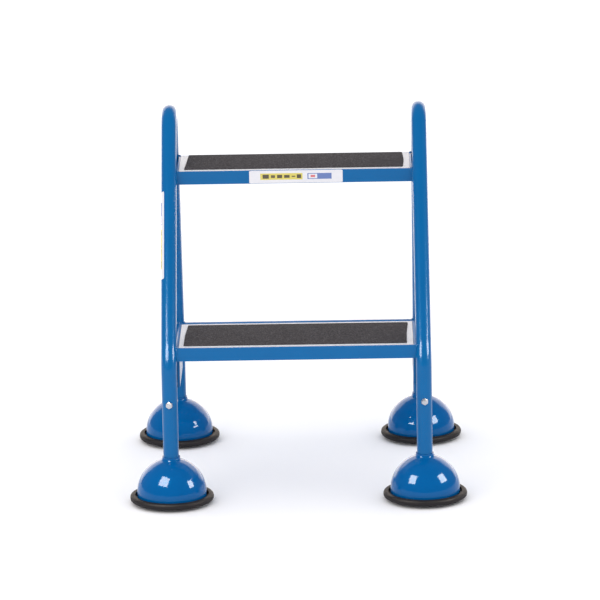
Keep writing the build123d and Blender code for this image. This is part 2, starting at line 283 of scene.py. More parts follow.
def moulded(name, finish):
    material, tree, place = startMaterial(name)
    cloud = addNode(
        tree, "ShaderNodeTexNoise", {"Vector": place, "Scale": perSize(handlingPatch), "Detail": 4}
    )
    colour = addNode(
        tree, "ShaderNodeMix",
        {0: cloud.outputs["Fac"], 6: linear(finish["colour"]), 7: linear(finish["worn"])}, data_type="RGBA",
    )
    spark = addNode(
        tree, "ShaderNodeTexNoise", {"Vector": place, "Scale": perSize(finish["texture"]), "Detail": 2}
    )
    bump = addNode(
        tree, "ShaderNodeBump", {"Height": spark.outputs["Fac"], "Distance": finish["height"] * mm}
    )
    smoother, rougher = finish["roughness"] - mouldedSpread[0], finish["roughness"] + mouldedSpread[1]
    gloss = addNode(
        tree, "ShaderNodeMapRange", {0: cloud.outputs["Fac"], 1: 0.3, 2: 0.7, 3: smoother, 4: rougher}
    )
    finishMaterial(tree, {
        "Base Color": colour.outputs[2],
        "Roughness": gloss.outputs[0],
        "Specular IOR Level": finish["mirror"],
        "Normal": bump.outputs["Normal"],
    })
    return material


# Metals: streaks run along the drawn or turned length; zinc plate is a little cloudy and bluish
metalSpread = (0.06, 0.08)  # how far roughness falls and rises from one streak to the next
zincPlate = {
    "colour": "#C9CCD1", "dull": "#A9ADB5", "streak": (8, 8, 8), "roughness": 0.3, "height": 0.004,
}
drawnSteel = {
    "colour": "#8F9194", "dull": "#77787B", "streak": (1.2, 1.2, 30), "roughness": 0.42, "height": 0.01,
}
springWire = {
    "colour": "#9A9CA0", "dull": "#6F7176", "streak": (0.8, 0.8, 0.8), "roughness": 0.33, "height": 0.004,
}


def metal(name, finish):
    material, tree, place = startMaterial(name)
    stretched = addNode(
        tree, "ShaderNodeMapping", {"Vector": place, "Scale": [perSize(size) for size in finish["streak"]]}
    )
    streaks = addNode(
        tree, "ShaderNodeTexNoise", {"Vector": stretched.outputs[0], "Scale": 1.0, "Detail": 5}
    )
    colour = addNode(
        tree, "ShaderNodeMix",
        {0: streaks.outputs["Fac"], 6: linear(finish["dull"]), 7: linear(finish["colour"])}, data_type="RGBA",
    )
    smoother, rougher = finish["roughness"] - metalSpread[0], finish["roughness"] + metalSpread[1]
    rough = addNode(
        tree, "ShaderNodeMapRange", {0: streaks.outputs["Fac"], 1: 0.3, 2: 0.7, 3: rougher, 4: smoother}
    )
    bump = addNode(
        tree, "ShaderNodeBump", {"Height": streaks.outputs["Fac"], "Distance": finish["height"] * mm}
    )
    finishMaterial(tree, {
        "Base Color": colour.outputs[2],
        "Metallic": 1.0,
        "Roughness": rough.outputs[0],
        "Normal": bump.outputs["Normal"],
    })
    return material


# Printed white vinyl: a satin film with plain blocks of ink, read from the label's own map in millimetres
vinylFilm = {
    "white": "#DEDEE3",
    "shade": "#D4D5DB",
    "roughness": 0.35,
    "patch": 20,            # mm, slow change from white to shade
    "blocks": [             # middle and half size along and across the label, with the ink
        ((-24, 0.4), (35, 5.4), "#CFC25C"),
        ((-50, 0.4), (5.2, 3.4), "#4A4330"),
        ((-38, 0.4), (3.4, 2.4), "#5A5236"),
        ((-27, 0.4), (4.2, 2.8), "#4A4330"),
        ((-15, 0.4), (4.6, 2.4), "#4A4330"),
        ((-4, 0.4), (3.0, 1.0), "#5A5236"),
        ((5, 0.4), (3.6, 3.2), "#4A4330"),
        ((39, 0.4), (20, 5.0), "#5C74AE"),
        ((28, 0.4), (7.2, 3.8), "#D8DAE2"),
        ((28, 0.4), (3.8, 1.9), "#CC6A70"),
    ],
}


def label(name, finish):
    material, tree, place = startMaterial(name)
    across = addNode(tree, "ShaderNodeUVMap", uv_map="labelMap").outputs[0]
    spot = addNode(tree, "ShaderNodeSeparateXYZ", {0: across})
    tint = addNode(
        tree, "ShaderNodeTexNoise", {"Vector": place, "Scale": perSize(finish["patch"]), "Detail": 2}
    )
    paper = addNode(
        tree, "ShaderNodeMix",
        {0: tint.outputs["Fac"], 6: linear(finish["white"]), 7: linear(finish["shade"])}, data_type="RGBA",
    )
    colour = paper.outputs[2]
    for middle, half, ink in finish["blocks"]:
        inside = []
        for axis in (0, 1):
            offset = addNode(
                tree, "ShaderNodeMath", {0: spot.outputs[axis], 1: middle[axis]}, operation="SUBTRACT"
            )
            size = addNode(tree, "ShaderNodeMath", {0: offset.outputs[0]}, operation="ABSOLUTE")
            inside.append(addNode(
                tree, "ShaderNodeMath", {0: size.outputs[0], 1: half[axis]}, operation="LESS_THAN"
            ).outputs[0])
        both = addNode(tree, "ShaderNodeMath", {0: inside[0], 1: inside[1]}, operation="MULTIPLY")
        colour = addNode(
            tree, "ShaderNodeMix", {0: both.outputs[0], 6: colour, 7: linear(ink)}, data_type="RGBA"
        ).outputs[2]
    finishMaterial(tree, {"Base Color": colour, "Roughness": finish["roughness"]})
    return material


finishes = {
    "frame_paint": paint("glossPowderCoat", powderCoat),
    "dome_paint": paint("stovedEnamel", domeEnamel),
    "tread_board": board("melamineFacedBoard", melamineBoard),
    "tread_mat": grit("mineralGritSheet", gritSheet),
    "rim_rubber": moulded("mouldedRubber", mouldedRubber),
    "castor_rubber": moulded("greyCastorRubber", castorRubber),
    "bush_nylon": moulded("blackNylon", blackNylon),
    "hub_nylon": moulded("greyNylon", greyNylon),
    "zinc_plate": metal("brightZincPlate", zincPlate),
    "guide_steel": metal("drawnSteelTube", drawnSteel),
    "spring_steel": metal("springWire", springWire),
    "label_film": label("printedVinyl", vinylFilm),
}

for subpart in frame["record"]["subparts"]:
    mesh = nodes[subpart["node"]].data
    mesh.materials.clear()
    mesh.materials.append(finishes[subpart["material_slot"]])
print("finishes given to", len(nodes), "nodes")


def newPiece(name, mesh, slotName, body="frame", smoothAngle=None):
    piece = bpy.data.objects.new(name, mesh)
    bpy.context.scene.collection.objects.link(piece)
    if not mesh.materials:
        mesh.materials.append(finishes[slotName])
    if smoothAngle is not None:
        mesh.shade_smooth()
        mesh.set_sharp_from_angle(angle=math.radians(smoothAngle))
    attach(piece, body)
    return piece


def meshFrom(name, points, edges=(), faces=()):
    mesh = bpy.data.meshes.new(name)
    mesh.from_pydata([tuple(point) for point in points], list(edges), list(faces))
    return mesh


def meshFromShape(name, shape):
    bmesh.ops.recalc_face_normals(shape, faces=shape.faces)
    mesh = bpy.data.meshes.new(name)
    shape.to_mesh(mesh)
    shape.free()
    return mesh


def lathe(profile, steps, reach=None):
    # turns (radius, height) points in millimetres about Z; a radius of 0 closes an end at a pole.
    # reach(radius, height, angle) may change a point, as for a hexagon
    shape = bmesh.new()
    rings = []
    for radius, height in profile:
        ring = []
        for step in range(steps if radius else 1):
            angle = 2 * math.pi * step / steps
            r, z = reach(radius, height, angle) if reach and radius else (radius, height)
            ring.append(shape.verts.new((r * math.cos(angle) * mm, r * math.sin(angle) * mm, z * mm)))
        rings.append(ring)
    for low, high in zip(rings, rings[1:]):
        for step in range(steps):
            after = (step + 1) % steps
            corners = [ring[spot % len(ring)] for ring, spot in (
                (low, step), (low, after), (high, after), (high, step),
            )]
            # at a pole two corners are one point
            shape.faces.new(list(dict.fromkeys(corners)))
    return shape


# A geometry tree starts with its named inputs and ends by realizing its instances and setting the material

def startTree(name, inputs):
    tree = bpy.data.node_groups.new(name, "GeometryNodeTree")
    tree.interface.new_socket(name="Geometry", in_out="OUTPUT", socket_type="NodeSocketGeometry")
    tree.interface.new_socket(name="Geometry", in_out="INPUT", socket_type="NodeSocketGeometry")
    for socketName, kind in {**inputs, "Finish": "Material"}.items():
        tree.interface.new_socket(name=socketName, in_out="INPUT", socket_type="NodeSocket" + kind)
    return tree, addNode(tree, "NodeGroupInput").outputs


def finishTree(tree, given, geometry):
    realized = addNode(tree, "GeometryNodeRealizeInstances", {0: geometry})
    finished = addNode(
        tree, "GeometryNodeSetMaterial", {"Geometry": realized.outputs[0], "Material": given["Finish"]}
    )
    addNode(tree, "NodeGroupOutput", {0: finished.outputs[0]})
    return tree


def runTree(tree, mesh, values):
    # the tree's result on a mesh, as a plain mesh
    source = bpy.data.objects.new("source", mesh)
    bpy.context.scene.collection.objects.link(source)
    modifier = source.modifiers.new(tree.name, "NODES")
    modifier.node_group = tree
    for item in tree.interface.items_tree:
        if item.in_out == "INPUT" and item.name in values:
            modifier[item.identifier] = values[item.name]
    source.update_tag()
    bpy.context.view_layer.update()
    evaluated = source.evaluated_get(bpy.context.evaluated_depsgraph_get())
    result = bpy.data.meshes.new_from_object(evaluated)
    bpy.data.objects.remove(source)
    return result


# Side frames: each hoop's centre line, for the welds that follow it
hoop = {
    "frontLean": 35,        # degrees above the front bend
    "rearLean": 12,
    "frontBendDrop": 19,    # mm, bend corner below the lower rail's top
    "rearBendDrop": 46,
    "bendRadius": 76,
    "stayDrop": 61,         # mm, stays' centre line below the lower rail's top
    "crossTubeDrop": 63.5,
}

frameLow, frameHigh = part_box("side_frame_left")
tubeRadius = (frameHigh.x - frameLow.x) / 2
legX = -(frameHigh.x + frameLow.x) / 2
frontY = (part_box("foot_dome_front_left")[0].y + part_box("foot_dome_front_left")[1].y) / 2
rearY = (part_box("foot_dome_rear_left")[0].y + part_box("foot_dome_rear_left")[1].y) / 2
lowerLow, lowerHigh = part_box("lower_tread_frame")
upperLow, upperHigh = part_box("upper_tread_frame")


def legY(z, isFront):
    # a leg's centre line at height z: upright, then an arc, then leaning in
    lean = math.radians(hoop["frontLean"] if isFront else hoop["rearLean"])
    bendZ = lowerHigh.z - (hoop["frontBendDrop"] if isFront else hoop["rearBendDrop"]) * mm
    radius = hoop["bendRadius"] * mm
    tangent = radius * math.tan(lean / 2)
    arcStart = bendZ - tangent
    if z <= arcStart:
        inward = 0
    elif z >= bendZ + tangent * math.cos(lean):
        inward = (z - bendZ) * math.tan(lean)
    else:
        inward = radius - math.sqrt(radius ** 2 - (z - arcStart) ** 2)
    return frontY + inward if isFront else rearY - inward


# Weld beads under the paint: a short rippled fillet wherever a tube or rail meets a leg
weldBead = {
    "radius": 1.6,          # mm
    "ripple": 0.1,          # share of the radius
    "pitch": 1.7,           # mm from one ripple to the next
    "detail": 0.5,          # mm between sections along the bead
    "sides": 10,
    "saddleArc": 110,       # degrees of a saddle's bead, over or under the tube
    "saddleSteps": 24,
    "railSteps": 14,
    "railHug": 0.45,        # least share of the leg's radius that a rail's bead stands out
    "railGap": 0.3,         # mm, bead's middle off the leg's flank
    "railTurn": (1.5, 3.0),  # mm, how a rail's bead ends, along X and Y
    "hangerBead": 22,       # mm, length of each stitch along a hanger
    "hangerStitches": 3,
    "hangerThickness": 4,
}


def saddle(tubeX, isFront, middleZ, alongX, side, isOver):
    # over or under a tube of the same size where it meets a leg, short of the flanks
    points = []
    steps, arc = weldBead["saddleSteps"], weldBead["saddleArc"]
    middle = 90 if isOver else 270
    for step in range(steps + 1):
        angle = math.radians(middle + arc * (step / steps - 0.5))
        across, up = tubeRadius * math.cos(angle), tubeRadius * math.sin(angle)
        reach = tubeRadius * abs(math.sin(angle))
        z = middleZ + up
        centre = legY(z, isFront)
        if alongX:
            points.append((tubeX - side * reach, centre + across, z))
        else:
            inward = 1 if isFront else -1
            points.append((tubeX + across, centre + inward * reach, z))
    return points


def railEnd(low, high, isFront, side):
    # up the end of a tread's front or back rail, along the leg's flank
    face = low.y if isFront else high.y
    steps = weldBead["railSteps"]
    points = []
    for step in range(steps + 1):
        z = low.z + (high.z - low.z) * step / steps
        lean = math.radians(hoop["frontLean"] if isFront else hoop["rearLean"])
        away = (face - legY(z, isFront)) * math.cos(lean)
        flank = math.sqrt(max(tubeRadius ** 2 - away ** 2, (weldBead["railHug"] * tubeRadius) ** 2))
        points.append((side * (legX - flank - weldBead["railGap"] * mm), face, z))
    inward = 1 if isFront else -1
    x, y, z = points[-1]
    turnX, turnY = weldBead["railTurn"]
    points.append((x - side * turnX * mm, y + inward * turnY * mm, z))
    return points


def hangerStitches(side):
    # short stitches along the top inner edge of a hanger, and along its foot on the stay
    low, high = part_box("lower_tread_hangers")
    length = weldBead["hangerBead"] * mm
    count = weldBead["hangerStitches"]
    gap = (high.y - low.y - length) / (count - 1)
    inner = side * (high.x - weldBead["hangerThickness"] * mm)
    rows = []
    for index in range(count):
        start = low.y + index * gap
        rows.append([(inner, start, high.z), (inner, start + length, high.z)])
        rows.append([(side * high.x, start, low.z), (side * high.x, start + length, low.z)])
    return rows


def makeWelds():
    paths = []
    stayZ = lowerHigh.z - hoop["stayDrop"] * mm
    crossZ = lowerHigh.z - hoop["crossTubeDrop"] * mm
    for side in (-1, 1):
        for isOver in (True, False):
            paths.append(saddle(side * legX, True, stayZ, False, side, isOver))
            paths.append(saddle(side * legX, False, stayZ, False, side, isOver))
            paths.append(saddle(side * legX, False, crossZ, True, side, isOver))
        paths.append(railEnd(lowerLow, lowerHigh, True, side))
        paths.append(railEnd(upperLow, upperHigh, True, side))
        paths.append(railEnd(upperLow, upperHigh, False, side))
        paths.extend(hangerStitches(side))
    points, edges = [], []
    for path in paths:
        first = len(points)
        points.extend(path)
        edges.extend((first + i, first + i + 1) for i in range(len(path) - 1))
    tree, given = startTree("weldBead", {
        "Radius": "Float", "Ripple": "Float", "Pitch": "Float", "Detail": "Float", "Sides": "Int",
    })
    line = addNode(tree, "GeometryNodeMeshToCurve", {0: given["Geometry"]})
    even = addNode(
        tree, "GeometryNodeResampleCurve", {"Curve": line.outputs[0], "Length": given["Detail"]},
        mode="LENGTH",
    )
    along = addNode(tree, "GeometryNodeSplineParameter").outputs["Length"]
    turns = addNode(tree, "ShaderNodeMath", {0: along, 1: given["Pitch"]}, operation="DIVIDE")
    phase = addNode(tree, "ShaderNodeMath", {0: turns.outputs[0], 1: math.pi}, operation="MULTIPLY")
    wave = addNode(tree, "ShaderNodeMath", {0: phase.outputs[0]}, operation="SINE")
    crest = addNode(tree, "ShaderNodeMath", {0: wave.outputs[0]}, operation="ABSOLUTE")
    swell = addNode(
        tree, "ShaderNodeMath", {0: crest.outputs[0], 1: given["Ripple"], 2: 1.0}, operation="MULTIPLY_ADD"
    )
    ring = addNode(
        tree, "GeometryNodeCurvePrimitiveCircle", {"Resolution": given["Sides"], "Radius": given["Radius"]}
    )
    bead = addNode(
        tree, "GeometryNodeCurveToMesh",
        {0: even.outputs[0], 1: ring.outputs[0], "Scale": swell.outputs[0], "Fill Caps": True},
    )
    finishTree(tree, given, bead.outputs[0])
    mesh = runTree(tree, meshFrom("weldPaths", points, edges), {
        "Radius": weldBead["radius"] * mm,
        "Ripple": weldBead["ripple"],
        "Pitch": weldBead["pitch"] * mm,
        "Detail": weldBead["detail"] * mm,
        "Sides": weldBead["sides"],
        "Finish": finishes["frame_paint"],
    })
    newPiece("weld_beads", mesh, "frame_paint", smoothAngle=60)


makeWelds()
print("welds laid")


# Anti-slip sheets, cut by hand a little out of square and stuck on the boards
treadMat = {
    "cornerRadius": 3.0,    # mm
    "edge": 0.5,            # mm, rounding of the top edge
    "cut": {                # mm, how far the left and right sides move in at front, middle and back
        "lower_tread_mat": {"left": (-1.4, -1.0, 2.0), "right": (1.6, 1.0, -1.8)},
        "upper_tread_mat": {"left": (-0.4, 2.0, 4.0), "right": (2.3, 0.5, 2.2)},
    },
    "topFacing": 0.9,       # grains lie only where the surface looks up more than this
    "buried": 0.35,         # share of the largest grain that the sheet's top leaves room for
    "grains": 60000,        # to the square metre
    "grainSmall": 0.35,     # mm
    "grainLarge": 0.8,
    "seed": 7,
}


def matOutline(low, high, cut):
    # points round the sheet, anticlockwise, with rounded corners
    corner = treadMat["cornerRadius"] * mm
    middle = (low.y + high.y) / 2
    left = [low.x + shift * mm for shift in cut["left"]]
    right = [high.x - shift * mm for shift in cut["right"]]
    corners = [(left[0], low.y, 180), (right[0], low.y, 270), (right[2], high.y, 0), (left[2], high.y, 90)]
    outline = []
    for index, (x, y, start) in enumerate(corners):
        centreX = x + corner * (1 if index in (0, 3) else -1)
        centreY = y + corner * (1 if index < 2 else -1)
        for step in range(7):
            angle = math.radians(start + 15 * step)
            outline.append((centreX + corner * math.cos(angle), centreY + corner * math.sin(angle)))
        if index == 1:
            outline.append((right[1], middle))
        if index == 3:
            outline.append((left[1], middle))
    return outline


def makeMat(nodeName):
    low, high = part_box(nodeName)
    shape = bmesh.new()
    outline = [shape.verts.new((x, y, low.z)) for x, y in matOutline(low, high, treadMat["cut"][nodeName])]
    base = shape.faces.new(outline)
    top = bmesh.ops.extrude_face_region(shape, geom=[base])
    raised = [item for item in top["geom"] if isinstance(item, bmesh.types.BMVert)]
    rise = high.z - low.z - treadMat["grainLarge"] * treadMat["buried"] * mm
    bmesh.ops.translate(shape, verts=raised, vec=(0, 0, rise))
    rim = [edge for edge in shape.edges if all(vert in raised for vert in edge.verts)]
    bmesh.ops.bevel(shape, geom=rim, offset=treadMat["edge"] * mm, segments=3, profile=0.5, affect="EDGES")
    sheet = meshFromShape(nodeName + "_sheet", shape)
    tree, given = startTree("gritSheet", {
        "Density": "Float", "Smallest": "Float", "Largest": "Float", "Seed": "Int",
    })
    facing = addNode(tree, "ShaderNodeSeparateXYZ", {0: addNode(tree, "GeometryNodeInputNormal").outputs[0]})
    isTop = addNode(
        tree, "FunctionNodeCompare", {0: facing.outputs["Z"], 1: treadMat["topFacing"]},
        data_type="FLOAT", operation="GREATER_THAN",
    )
    spots = addNode(
        tree, "GeometryNodeDistributePointsOnFaces",
        {"Mesh": given["Geometry"], "Selection": isTop.outputs[0],
         "Density": given["Density"], "Seed": given["Seed"]},
    )
    grain = addNode(tree, "GeometryNodeMeshIcoSphere", {"Radius": 1.0, "Subdivisions": 1})
    size = addNode(
        tree, "FunctionNodeRandomValue", {2: given["Smallest"], 3: given["Largest"], "Seed": given["Seed"]}
    )
    anyTurn = 6.28
    turn = addNode(
        tree, "FunctionNodeRandomValue",
        {0: (0, 0, 0), 1: (anyTurn, anyTurn, anyTurn), "Seed": given["Seed"]},
        data_type="FLOAT_VECTOR",
    )
    grains = addNode(
        tree, "GeometryNodeInstanceOnPoints",
        {"Points": spots.outputs[0], "Instance": grain.outputs[0], "Rotation": turn.outputs[0],
         "Scale": size.outputs[1]},
    )
    joined = addNode(tree, "GeometryNodeJoinGeometry", {0: grains.outputs[0]})
    tree.links.new(given["Geometry"], joined.inputs[0])
    finishTree(tree, given, joined.outputs[0])
    mesh = runTree(tree, sheet, {
        "Density": treadMat["grains"],
        "Smallest": treadMat["grainSmall"] * mm / 2,
        "Largest": treadMat["grainLarge"] * mm / 2,
        "Seed": treadMat["seed"],
        "Finish": finishes["tread_mat"],
    })
    piece = newPiece(nodeName + "_grit", mesh, "tread_mat", smoothAngle=30)
    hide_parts(nodeName)


for nodeName in treadMat["cut"]:
    makeMat(nodeName)
print("grit sheets laid")


# Fasteners: chamfered hexagon heads and nuts, rolled threads and cross-recessed pan heads
fastener = {
    "flats": 10.0,          # mm across
    "headHeight": 4.0,
    "nutHeight": 5.0,
    "nutGap": 0.05,
    "pastNut": 2.5,
    "boltRadius": 3.0,
    "threadPitch": 1.0,
    "threadDepth": 0.45,
    "threadLength": 14.0,
    "chamfer": 30,          # degrees
    "faceShare": 0.97,      # radius of a hexagon's round face, as a share of its apothem
    "headTurn": 18,         # degrees, left as the spanner left them
    "screwTurn": 37,        # degrees from one screw's cross to the next
    "steps": 24,            # round a shank
    "hexSteps": 96,
    "screwHead": 8.0,       # mm across
    "screwHeadHeight": 2.2,
    "screwShank": 2.0,
    "screwLength": 14.0,
    "screwPitch": 1.6,
    "recess": 3.6,          # mm, length of each arm of the cross
    "recessWidth": 0.9,
    "recessDepth": 1.2,
}


# radii that mark a ring as the hexagon's own corners, plain or chamfered
plainCorner, chamferedCorner = 10, 20


def hexRing(radius, height, angle):
    # pulls a marked ring out to the hexagon, and chamfers it where its mark says so
    if radius not in (plainCorner, chamferedCorner):
        return radius, height
    apothem = fastener["flats"] / 2
    corner = apothem / math.cos((angle + math.pi / 6) % (math.pi / 3) - math.pi / 6)
    if radius == plainCorner:
        return corner, height
    excess = max(0.0, corner - apothem * fastener["faceShare"])
    return corner, height - excess * math.tan(math.radians(fastener["chamfer"]))


def headProfile(height, hole):
    # the seat, the flats and the chamfered end
    face = fastener["flats"] / 2 * fastener["faceShare"]
    flats = [(plainCorner, 0), (plainCorner, 0.5), (chamferedCorner, height)]
    return [(hole, 0)] + flats + [(face, height), (hole, height)]


def boltMesh():
    # head seat at the origin, head up the Z axis and shank down it
    shank = fastener["boltRadius"]
    root = shank - fastener["threadDepth"]
    reach = 2 * tubeRadius / mm + fastener["nutHeight"] + fastener["pastNut"]
    profile = [(0, -reach), (root * 0.9, -reach), (root, -reach + 0.4)]
    turns = int(fastener["threadLength"] / fastener["threadPitch"])
    # each turn of thread: up to the crest, along it and down to the root
    for turn in range(turns):
        z = -reach + 0.5 + turn * fastener["threadPitch"]
        profile += [(shank, z + 0.4), (shank, z + 0.55), (root, z + 0.95)]
    profile += [(shank, profile[-1][1] + 0.4), (shank, 0)]
    shankMesh = meshFromShape("boltShank", lathe(profile, fastener["steps"]))
    head = lathe(headProfile(fastener["headHeight"], 0), fastener["hexSteps"], hexRing)
    head.from_mesh(shankMesh)
    return meshFromShape("legBolt", head)


def nutMesh():
    # seat at the origin, body up the Z axis; the hole is the bolt's
    bore = fastener["boltRadius"] + fastener["nutGap"]
    rings = headProfile(fastener["nutHeight"], bore)
    shape = lathe(rings + rings[:1], fastener["hexSteps"], hexRing)
    bmesh.ops.remove_doubles(shape, verts=shape.verts, dist=0.00001 * mm)
    return meshFromShape("legNut", shape)


def screwMesh():
    # seat at the origin, pan head up the Z axis with a cross recess, threaded shank down it
    half, height = fastener["screwHead"] / 2, fastener["screwHeadHeight"]
    shank, root = fastener["screwShank"], fastener["screwShank"] - 0.5
    # a pan head: an upright side, then a low dome
    dome = []
    for step in range(1, 8):
        angle = math.radians(90 * step / 8)
        dome.append((half * math.cos(angle) ** 0.6, height * (0.35 + 0.65 * math.sin(angle))))
    profile = [(0, -fastener["screwLength"]), (root * 0.5, -fastener["screwLength"] + 1)]
    z = -fastener["screwLength"] + 1.5
    while z < -1.5:
        profile += [(root, z), (shank, z + 0.5), (root, z + 0.8)]
        z += fastener["screwPitch"]
    profile += [(shank, -0.6), (shank, 0), (half, 0), (half, height * 0.35)] + dome + [(0, height)]
    screw = meshFromShape("screwBlank", lathe(profile, 40))
    cutter = bmesh.new()
    arm, width = fastener["recess"] / 2 * mm, fastener["recessWidth"] / 2 * mm
    depth = fastener["recessDepth"] * mm
    outline = [
        (arm, -width), (arm, width), (width, width), (width, arm), (-width, arm), (-width, width),
        (-arm, width), (-arm, -width), (-width, -width), (-width, -arm), (width, -arm), (width, -width),
    ]
    cross = cutter.faces.new([cutter.verts.new((x, y, height * mm - depth)) for x, y in outline])
    raised = bmesh.ops.extrude_face_region(cutter, geom=[cross])
    for vert in raised["geom"]:
        if isinstance(vert, bmesh.types.BMVert):
            vert.co = (vert.co.x * 1.25, vert.co.y * 1.25, height * mm + depth)
    cutterMesh = meshFromShape("recessCutter", cutter)
    blank, tool = (bpy.data.objects.new(mesh.name, mesh) for mesh in (screw, cutterMesh))
    for item in (blank, tool):
        bpy.context.scene.collection.objects.link(item)
    cut = blank.modifiers.new("recess", "BOOLEAN")
    cut.operation, cut.object, cut.solver = "DIFFERENCE", tool, "EXACT"
    bpy.context.view_layer.update()
    result = bpy.data.meshes.new_from_object(blank.evaluated_get(bpy.context.evaluated_depsgraph_get()))
    for item in (blank, tool):
        bpy.data.objects.remove(item)
    return result


def makeFasteners(name, fastenerMesh, places, slotName, replaced):
    # one copy at each place, turned so that its Z axis points as the place says, all as one mesh
    spots = meshFrom(name + "Spots", [spot for spot, turn in places])
    turns = spots.attributes.new("turn", "FLOAT_VECTOR", "POINT")
    for index, (spot, turn) in enumerate(places):
        turns.data[index].vector = [math.radians(angle) for angle in turn]
    model = bpy.data.objects.new(name + "Model", fastenerMesh)
    bpy.context.scene.collection.objects.link(model)
    tree, given = startTree("fasteners", {"Fastener": "Object"})
    part = addNode(tree, "GeometryNodeObjectInfo", {"Object": given["Fastener"]})
    turn = addNode(tree, "GeometryNodeInputNamedAttribute", {"Name": "turn"}, data_type="FLOAT_VECTOR")
    copies = addNode(
        tree, "GeometryNodeInstanceOnPoints",
        {"Points": given["Geometry"], "Instance": part.outputs["Geometry"], "Rotation": turn.outputs[0]},
    )
    finishTree(tree, given, copies.outputs[0])
    mesh = runTree(tree, spots, {"Fastener": model, "Finish": finishes[slotName]})
    bpy.data.objects.remove(model)
    piece = newPiece(name, mesh, slotName, smoothAngle=32)
    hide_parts(replaced)


def makeAllFasteners():
    boltLow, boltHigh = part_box("leg_bolts")
    boltZ = (boltLow.z + boltHigh.z) / 2
    heads, nuts = [], []
    for x in (-legX, legX):
        for y, out in ((frontY, -1), (rearY, 1)):
            turn = -90 * out
            heads.append(((x, y + out * tubeRadius, boltZ), (turn, 0, fastener["headTurn"] * x / legX)))
            nuts.append(((x, y - out * tubeRadius, boltZ), (-turn, 0, 0)))
    makeFasteners("hex_bolts", boltMesh(), heads, "zinc_plate", "leg_bolts")
    makeFasteners("hex_nuts", nutMesh(), nuts, "zinc_plate", "leg_nuts")
    for tread in ("lower", "upper"):
        low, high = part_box(tread + "_tread_screws")
        radius = fastener["screwHead"] / 2 * mm
        seatZ = low.z + fastener["screwHeadHeight"] * mm
        columns = (low.x + radius, 0, high.x - radius)
        rows = (low.y + radius, high.y - radius)
        spots = [(x, y, seatZ) for y in rows for x in columns]
        places = [(spot, (180, 0, fastener["screwTurn"] * index)) for index, spot in enumerate(spots)]
        makeFasteners(tread + "_pan_screws", screwMesh(), places, "zinc_plate", tread + "_tread_screws")


makeAllFasteners()
print("fasteners driven")


# Return springs: closed coils at each end, wound by a tree
returnSpring = {
    "wireRadius": 0.8,      # mm
    "turns": 10,
    "perTurn": 28,
    "sides": 10,
    "travel": 8.0,
}


def makeSprings():
    tree, given = startTree("coilSpring", {
        "Turns": "Float", "Steps": "Int", "Coil Radius": "Float", "Wire Radius": "Float", "Height": "Float",
        "Foot": "Vector", "Sides": "Int",
    })
    spiral = addNode(tree, "GeometryNodeCurveSpiral", {
        "Resolution": given["Steps"], "Rotations": given["Turns"], "Start Radius": given["Coil Radius"],
        "End Radius": given["Coil Radius"], "Height": 0.0,
    })
    factor = addNode(tree, "GeometryNodeSplineParameter").outputs["Factor"]
    turned = addNode(tree, "ShaderNodeMath", {0: factor, 1: given["Turns"]}, operation="MULTIPLY")
    wire = addNode(tree, "ShaderNodeMath", {0: given["Wire Radius"], 1: 2.0}, operation="MULTIPLY")
    lastTurn = addNode(tree, "ShaderNodeMath", {0: given["Turns"], 1: 1.0}, operation="SUBTRACT")
    openHeight = addNode(
        tree, "ShaderNodeMath", {0: wire.outputs[0], 1: -2.0, 2: given["Height"]}, operation="MULTIPLY_ADD"
    )
    # one closed turn, the open turns, one closed turn
    stretches = [
        (0.0, 1.0, wire.outputs[0]),
        (1.0, lastTurn.outputs[0], openHeight.outputs[0]),
        (lastTurn.outputs[0], given["Turns"], wire.outputs[0]),
    ]
    rise = None
    for begin, end, gain in stretches:
        part = addNode(
            tree, "ShaderNodeMapRange", {0: turned.outputs[0], 1: begin, 2: end, 3: 0.0, 4: gain}
        ).outputs[0]
        rise = part if rise is None else addNode(tree, "ShaderNodeMath", {0: rise, 1: part}).outputs[0]
    lift = addNode(tree, "ShaderNodeCombineXYZ", {2: rise})
    shift = addNode(tree, "ShaderNodeVectorMath", {0: lift.outputs[0], 1: given["Foot"]})
    wound = addNode(
        tree, "GeometryNodeSetPosition", {"Geometry": spiral.outputs[0], "Offset": shift.outputs[0]}
    )
    section = addNode(
        tree, "GeometryNodeCurvePrimitiveCircle",
        {"Resolution": given["Sides"], "Radius": given["Wire Radius"]},
    )
    coil = addNode(
        tree, "GeometryNodeCurveToMesh", {0: wound.outputs[0], 1: section.outputs[0], "Fill Caps": True}
    )
    finishTree(tree, given, coil.outputs[0])
    wireRadius = returnSpring["wireRadius"] * mm
    for foot in footNames:
        low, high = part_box("return_spring_" + foot)
        centreX, centreY = (low.x + high.x) / 2, (low.y + high.y) / 2
        mesh = runTree(tree, meshFrom("springSeed", [(0, 0, 0)]), {
            "Turns": returnSpring["turns"],
            "Steps": returnSpring["perTurn"],
            "Coil Radius": (high.x - low.x) / 2 - wireRadius,
            "Wire Radius": wireRadius,
            "Height": high.z - low.z - 2 * wireRadius,
            "Foot": (centreX, centreY, low.z + wireRadius),
            "Sides": returnSpring["sides"],
            "Finish": finishes["spring_steel"],
        })
        spring = newPiece("coil_spring_" + foot, mesh, "spring_steel", smoothAngle=60)
        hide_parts("return_spring_" + foot)
        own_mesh(spring)


makeSprings()
print("springs wound")


# Labels: one flat on the upper rail, one wrapped round the left front leg, with rounded corners
vinylLabel = {
    "corner": 0.8,          # mm
    "thickness": 0.3,
    "clearance": 0.02,      # glue line under the film
    "legRise": 158.5,       # leg label's middle above the lower rail's top
    "legTurn": 7,           # degrees towards the front
    "columns": 60,
    "rows": 12,
}


